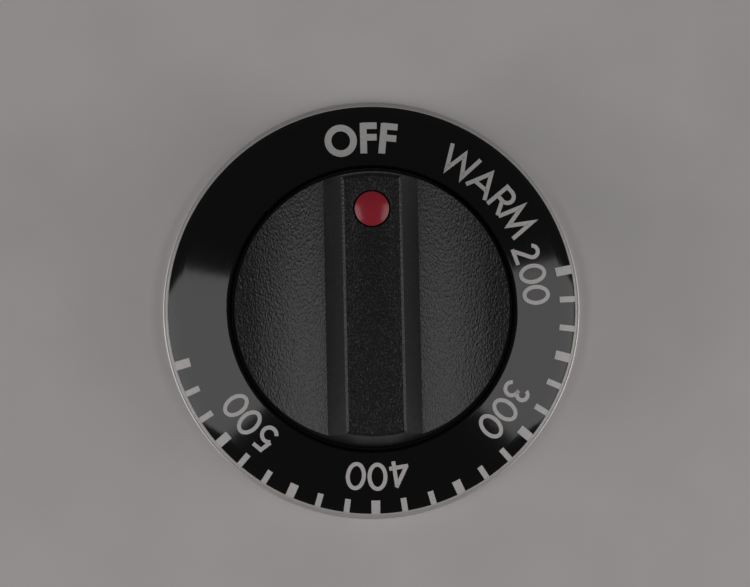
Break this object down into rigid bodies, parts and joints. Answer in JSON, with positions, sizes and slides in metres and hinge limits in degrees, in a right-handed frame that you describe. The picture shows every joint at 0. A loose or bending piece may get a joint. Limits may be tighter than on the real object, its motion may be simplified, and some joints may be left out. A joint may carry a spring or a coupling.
{
  "type": "thermostat knob",
  "caption": "Round oven thermostat knob: a moulded bar grip clamped into a pressed dial with a sloping black face, a bright rim and a printed temperature scale.",
  "frame": {"origin": "on the shaft axis, in the plane that the bright rim lies on when the knob lies on its back", "axes": "+Z along the shaft axis towards the user, +Y from the axis towards the red indicator, the flat of the shaft hole on the -Y side"},
  "size_m": [0.0506, 0.0506, 0.0199],
  "materials": {
    "black_face": "glossy black coating on pressed aluminium, left bare and bright on the side wall and the rim",
    "printed_ink": "flat pale grey screen-printed ink",
    "black_moulding": "black heat-proof moulding, fine leather grain on top and smooth on the bar's flanks",
    "red_plug": "dull red plastic with a soft gloss",
    "spring_steel": "plain spring steel strip",
    "zinc_steel": "zinc-plated steel"
  },
  "bodies": {
    "grip": {"grip": "black_moulding", "indicator": "red_plug", "shaft_clip": "spring_steel", "locking_screws": "zinc_steel", "washers": "zinc_steel"},
    "dial": {"dial_skirt": "black_face", "scale_marks": "printed_ink"}
  },
  "joints": [
    {"name": "dial_turn", "type": "hinge", "parent": "grip", "child": "dial", "pos_m": [0, 0, 0.0034], "axis": [0, 0, 1], "range_deg": [-25.2, 25.2]}
  ]
}
